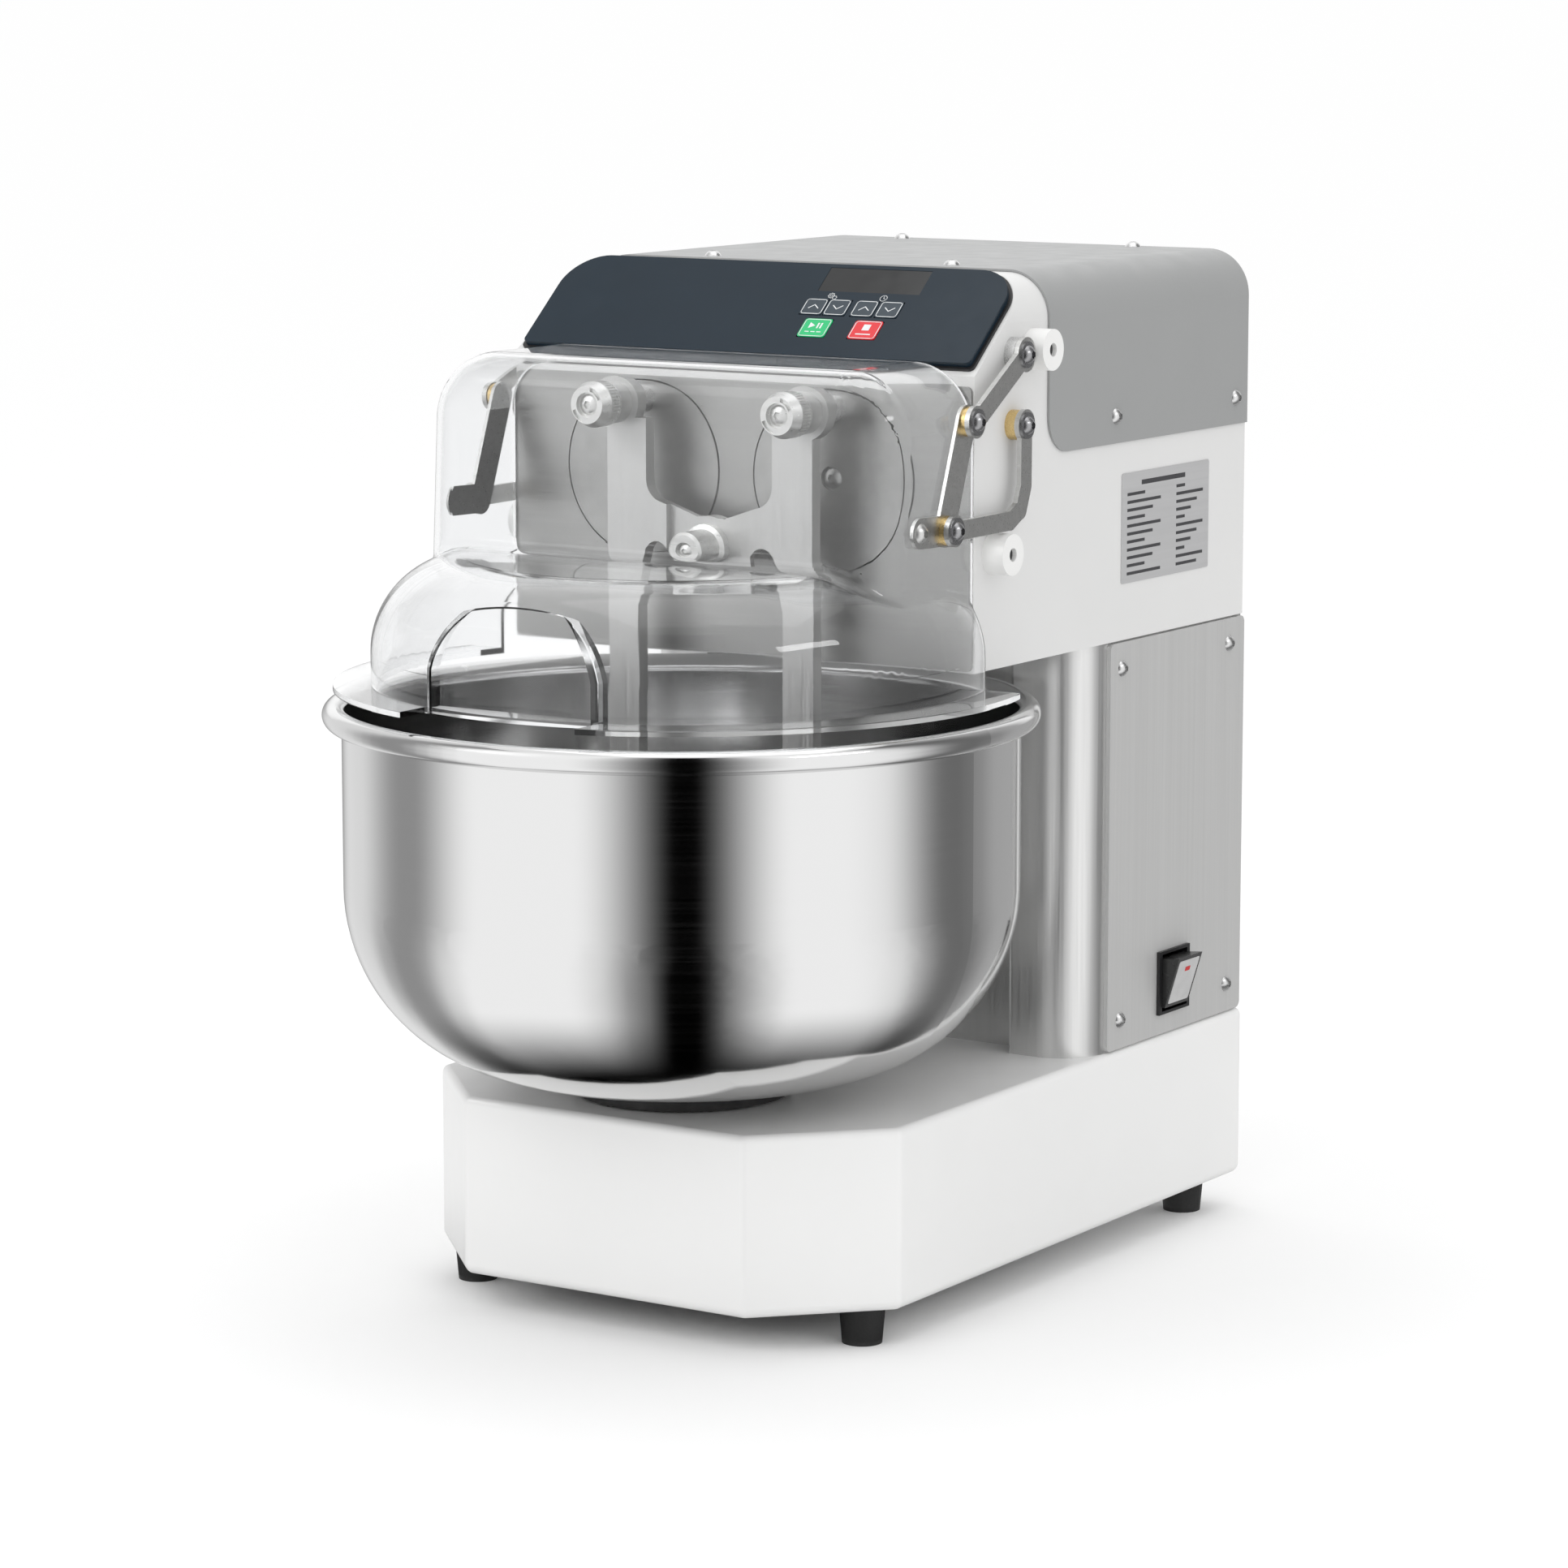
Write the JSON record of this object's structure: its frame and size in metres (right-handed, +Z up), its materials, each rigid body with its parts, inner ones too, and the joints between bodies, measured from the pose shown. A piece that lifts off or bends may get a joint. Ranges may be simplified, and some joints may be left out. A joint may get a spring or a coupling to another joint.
{
  "type": "dough mixer",
  "caption": "Bench-top twin-arm dough mixer with a turning steel bowl, clear lifting guard, crank-driven kneading arms and a sloping control panel.",
  "frame": {"origin": "on the floor, under the middle of the machine's overall box", "axes": "+Z up; the bowl and guard face -Y, the casing's back is +Y; +X is the operator's right, the side with the switch"},
  "size_m": [0.38, 0.55, 0.5549],
  "materials": {
    "white_paint": "smooth satin paint",
    "grey_paint": "fine-textured satin paint",
    "brushed_steel": "brushed",
    "satin_steel": "satin",
    "bright_steel": "fine turned",
    "polished_steel": "polished",
    "gear_steel": "machined",
    "sheet_steel": "plain",
    "dark_screw": "blackened",
    "dark_casting": "black painted casting",
    "motor_iron": "painted casting",
    "motor_aluminium": "cast",
    "brass": "turned",
    "black_rubber": "matt",
    "black_plastic": "satin moulded",
    "white_nylon": "turned nylon",
    "navy_glass": "glossy printed panel",
    "display_dark": "smoked window",
    "key_legend": "smooth",
    "key_green": "smooth",
    "key_red": "smooth",
    "circuit_board": "lacquered",
    "label_silver": "blank printed foil",
    "switch_face": "moulded",
    "clear_guard": "clear moulded polycarbonate"
  },
  "bodies": {
    "root": {"base_housing": "white_paint", "base_bottom_plate": "sheet_steel", "rubber_feet": "black_rubber", "bowl_bearing_unit": "dark_casting", "bowl_gearmotor": "motor_aluminium", "column_shell": "brushed_steel", "column_side_panel_left": "brushed_steel", "column_side_panel_right": "brushed_steel", "rear_panel": "brushed_steel", "cable_gland": "black_plastic", "inverter_module": "motor_aluminium", "casing_screws": "bright_steel", "head_housing": "white_paint", "head_front_plate": "satin_steel", "top_cover": "grey_paint", "rating_plate": "label_silver", "control_bezel": "black_plastic", "control_panel": "navy_glass", "display_window": "display_dark", "control_board": "circuit_board", "gear_plate": "sheet_steel", "crank_bearings": "bright_steel", "arm_gearmotor": "motor_iron", "link_spacers_steel": "bright_steel", "link_spacers_brass": "brass", "nylon_stops": "white_nylon", "stop_screws": "dark_screw", "switch_housing": "black_plastic"},
    "bowl_body": {"bowl": "polished_steel", "bowl_hub": "dark_casting", "bowl_spindle": "bright_steel", "bowl_bolts": "bright_steel"},
    "crank_left": {"crank_disc_left": "satin_steel", "crank_pin_left": "bright_steel", "crank_gear_left": "gear_steel", "arm_knob_left": "satin_steel"},
    "crank_right": {"crank_disc_right": "satin_steel", "crank_pin_right": "bright_steel", "crank_gear_right": "gear_steel", "arm_knob_right": "satin_steel"},
    "pinion": {"drive_pinion": "gear_steel"},
    "arm_left": {"mixing_arm_left": "satin_steel"},
    "arm_right": {"mixing_arm_right": "satin_steel", "centre_knob": "satin_steel"},
    "upper_links": {"guard_upper_link_left": "satin_steel", "guard_upper_link_right": "satin_steel", "upper_link_screws": "dark_screw"},
    "lower_links": {"guard_lower_link_left": "satin_steel", "guard_lower_link_right": "satin_steel", "lower_link_screws": "dark_screw"},
    "guard": {"bowl_guard": "clear_guard", "guard_brackets": "satin_steel", "guard_bushes": "brass"},
    "rocker": {"switch_rocker": "switch_face"},
    "key_speed_up_body": {"key_speed_up": "key_legend"},
    "key_speed_down_body": {"key_speed_down": "key_legend"},
    "key_time_up_body": {"key_time_up": "key_legend"},
    "key_time_down_body": {"key_time_down": "key_legend"},
    "key_start_pause_body": {"key_start_pause": "key_green"},
    "key_stop_body": {"key_stop": "key_red"}
  },
  "joints": [
    {"name": "bowl_turn", "type": "hinge", "parent": "root", "child": "bowl_body", "pos_m": [0, -0.085, 0.122], "axis": [0, 0, 1], "continuous": true},
    {"name": "crank_left_turn", "type": "hinge", "parent": "root", "child": "crank_left", "pos_m": [-0.06, -0.028, 0.444], "axis": [0, -1, 0], "continuous": true},
    {"name": "crank_right_turn", "type": "hinge", "parent": "root", "child": "crank_right", "pos_m": [0.06, -0.028, 0.444], "axis": [0, -1, 0], "continuous": true},
    {"name": "pinion_turn", "type": "hinge", "parent": "root", "child": "pinion", "pos_m": [0, 0.011, 0.444], "axis": [0, -1, 0], "continuous": true},
    {"name": "arm_left_pivot", "type": "hinge", "parent": "crank_left", "child": "arm_left", "pos_m": [-0.06, -0.059, 0.481], "axis": [0, -1, 0], "continuous": true},
    {"name": "arm_right_pivot", "type": "hinge", "parent": "crank_right", "child": "arm_right", "pos_m": [0.06, -0.059, 0.481], "axis": [0, -1, 0], "continuous": true},
    {"name": "guard_lift", "type": "hinge", "parent": "root", "child": "upper_links", "pos_m": [0, 0.009, 0.5107], "axis": [-1, 0, 0], "range_deg": [0, 137]},
    {"name": "guard_tilt", "type": "hinge", "parent": "upper_links", "child": "guard", "pos_m": [0, -0.0415, 0.4792], "axis": [-1, 0, 0], "range_deg": [-86.51, 1]},
    {"name": "lower_link_swing", "type": "hinge", "parent": "root", "child": "lower_links", "pos_m": [0, 0.0093, 0.4736], "axis": [-1, 0, 0], "range_deg": [-1, 97.72]},
    {"name": "switch_rock", "type": "hinge", "parent": "root", "child": "rocker", "pos_m": [0.146, 0.1905, 0.147], "axis": [0, -1, 0], "range_deg": [0, 20]},
    {"name": "key_speed_up_press", "type": "slide", "parent": "root", "child": "key_speed_up_body", "axis": [0, 0.6439, -0.7651], "range_m": [0, 0.0008], "stiffness_N_per_m": 300},
    {"name": "key_speed_down_press", "type": "slide", "parent": "root", "child": "key_speed_down_body", "axis": [0, 0.6439, -0.7651], "range_m": [0, 0.0008], "stiffness_N_per_m": 300},
    {"name": "key_time_up_press", "type": "slide", "parent": "root", "child": "key_time_up_body", "axis": [0, 0.6439, -0.7651], "range_m": [0, 0.0008], "stiffness_N_per_m": 300},
    {"name": "key_time_down_press", "type": "slide", "parent": "root", "child": "key_time_down_body", "axis": [0, 0.6439, -0.7651], "range_m": [0, 0.0008], "stiffness_N_per_m": 300},
    {"name": "key_start_pause_press", "type": "slide", "parent": "root", "child": "key_start_pause_body", "axis": [0, 0.6439, -0.7651], "range_m": [0, 0.0008], "stiffness_N_per_m": 300},
    {"name": "key_stop_press", "type": "slide", "parent": "root", "child": "key_stop_body", "axis": [0, 0.6439, -0.7651], "range_m": [0, 0.0008], "stiffness_N_per_m": 300}
  ],
  "couplings": [
    {"joint": "crank_right_turn", "follows": "crank_left_turn", "ratio": 1},
    {"joint": "pinion_turn", "follows": "crank_left_turn", "ratio": -3},
    {"joint": "arm_left_pivot", "follows": "crank_left_turn", "ratio": -1},
    {"joint": "arm_right_pivot", "follows": "crank_left_turn", "ratio": -1},
    {"joint": "guard_tilt", "follows": "guard_lift", "ratio": -0.62418},
    {"joint": "lower_link_swing", "follows": "guard_lift", "ratio": 0.70601}
  ]
}
